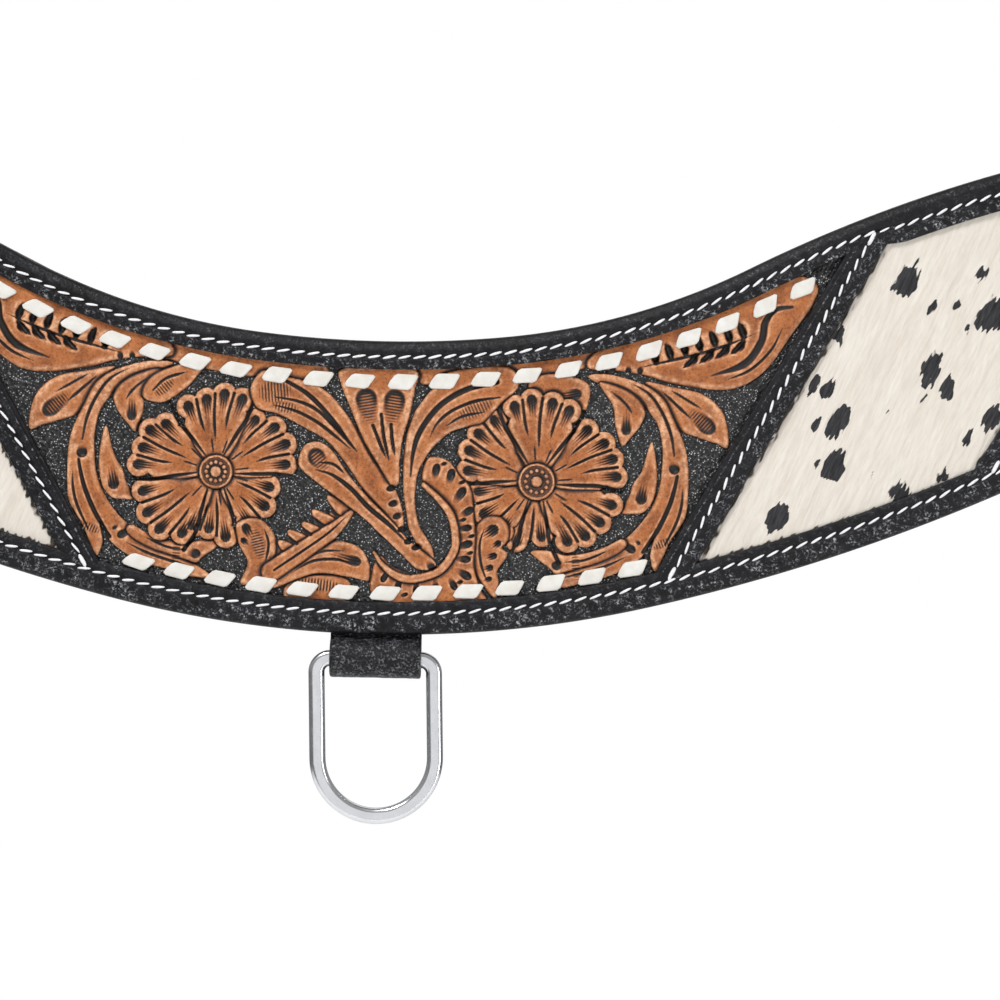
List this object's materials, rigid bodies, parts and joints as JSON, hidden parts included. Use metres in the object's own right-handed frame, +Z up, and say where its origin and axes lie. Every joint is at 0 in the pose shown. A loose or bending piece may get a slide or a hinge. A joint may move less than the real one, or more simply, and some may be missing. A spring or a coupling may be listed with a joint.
{
  "type": "breast collar",
  "caption": "Contoured leather horse breast collar: tooled and hair-on hide panels in a stitched border, rings in folded loops, and a buckled tug strap at each end.",
  "frame": {"origin": "middle of the lining's back face, on the collar's line of symmetry", "axes": "+Z up, +X to the right seen from the front, and the front faces -Y, so +Y points at the horse's chest"},
  "size_m": [0.9314, 0.0186, 0.2758],
  "materials": {
    "black_leather": "grained, semi-gloss, rolled edge",
    "tooled_leather": "carved and stamped, oiled tan with black ground",
    "hide": "hair-on, cream with black spots",
    "lace": "smooth white flat lace",
    "thread": "waxed white thread",
    "lining_leather": "smooth plain brown",
    "core_leather": "undyed",
    "loop_leather": "grained black",
    "tug_leather": "smooth black, bevelled edges",
    "ring_metal": "nickel plate, satin flat faces and polished edges",
    "hardware": "polished nickel plate"
  },
  "bodies": {
    "collar": {"lining": "lining_leather", "lining_seam_thread": "thread", "border_seam_thread": "thread", "core": "core_leather", "border": "black_leather", "edge_filler": "core_leather", "centre_tooled_panel": "tooled_leather", "right_hide_panel": "hide", "left_hide_panel": "hide", "right_tip_tooled_panel": "tooled_leather", "left_tip_tooled_panel": "tooled_leather", "divider_seam_threads": "thread", "centre_lacing": "lace", "left_tip_lacing": "lace", "right_tip_lacing": "lace", "tie_down_loop": "loop_leather", "left_end_loop": "loop_leather", "right_end_loop": "loop_leather"},
    "tie_down_ring": {"tie_down_ring": "ring_metal"},
    "left_end_ring": {"left_end_ring": "ring_metal"},
    "left_tug": {"left_tug_strap": "tug_leather", "left_tug_screws": "hardware"},
    "left_keeper": {"left_tug_keeper": "tug_leather"},
    "left_buckle": {"left_buckle_frame": "hardware"},
    "left_roller": {"left_buckle_roller": "hardware"},
    "left_tongue": {"left_buckle_tongue": "hardware"},
    "right_end_ring": {"right_end_ring": "ring_metal"},
    "right_tug": {"right_tug_strap": "tug_leather", "right_tug_screws": "hardware"},
    "right_keeper": {"right_tug_keeper": "tug_leather"},
    "right_buckle": {"right_buckle_frame": "hardware"},
    "right_roller": {"right_buckle_roller": "hardware"},
    "right_tongue": {"right_buckle_tongue": "hardware"}
  },
  "joints": [
    {"name": "tie_down_ring_swing", "type": "hinge", "parent": "collar", "child": "tie_down_ring", "pos_m": [0, -0.00609, -0.0546], "axis": [1, 0, 0], "range_deg": [-120, 110]},
    {"name": "left_end_ring_swing", "type": "hinge", "parent": "collar", "child": "left_end_ring", "pos_m": [-0.4128, -0.00609, 0.10053], "axis": [0, 0, 1], "range_deg": [-80, 80]},
    {"name": "left_tug_swing", "type": "hinge", "parent": "left_end_ring", "child": "left_tug", "pos_m": [-0.43078, -0.00609, 0.08168], "axis": [1, 0, 0], "range_deg": [-60, 60]},
    {"name": "left_keeper_slide", "type": "slide", "parent": "left_tug", "child": "left_keeper", "axis": [0, 0, 1], "range_m": [-0.016, 0.012]},
    {"name": "left_buckle_swing", "type": "hinge", "parent": "left_tug", "child": "left_buckle", "pos_m": [-0.43078, -0.01159, -0.01032], "axis": [1, 0, 0], "range_deg": [-55, 3]},
    {"name": "left_roller_spin", "type": "hinge", "parent": "left_buckle", "child": "left_roller", "pos_m": [-0.43078, -0.01159, -0.03532], "axis": [1, 0, 0], "continuous": true},
    {"name": "left_tongue_swing", "type": "hinge", "parent": "left_buckle", "child": "left_tongue", "pos_m": [-0.43078, -0.01159, -0.01032], "axis": [1, 0, 0], "range_deg": [-55, 0]},
    {"name": "right_end_ring_swing", "type": "hinge", "parent": "collar", "child": "right_end_ring", "pos_m": [0.4128, -0.00609, 0.10053], "axis": [0, 0, 1], "range_deg": [-80, 80]},
    {"name": "right_tug_swing", "type": "hinge", "parent": "right_end_ring", "child": "right_tug", "pos_m": [0.43078, -0.00609, 0.08168], "axis": [1, 0, 0], "range_deg": [-60, 60]},
    {"name": "right_keeper_slide", "type": "slide", "parent": "right_tug", "child": "right_keeper", "axis": [0, 0, 1], "range_m": [-0.016, 0.012]},
    {"name": "right_buckle_swing", "type": "hinge", "parent": "right_tug", "child": "right_buckle", "pos_m": [0.43078, -0.01159, -0.01032], "axis": [1, 0, 0], "range_deg": [-55, 3]},
    {"name": "right_roller_spin", "type": "hinge", "parent": "right_buckle", "child": "right_roller", "pos_m": [0.43078, -0.01159, -0.03532], "axis": [1, 0, 0], "continuous": true},
    {"name": "right_tongue_swing", "type": "hinge", "parent": "right_buckle", "child": "right_tongue", "pos_m": [0.43078, -0.01159, -0.01032], "axis": [1, 0, 0], "range_deg": [-55, 0]}
  ]
}
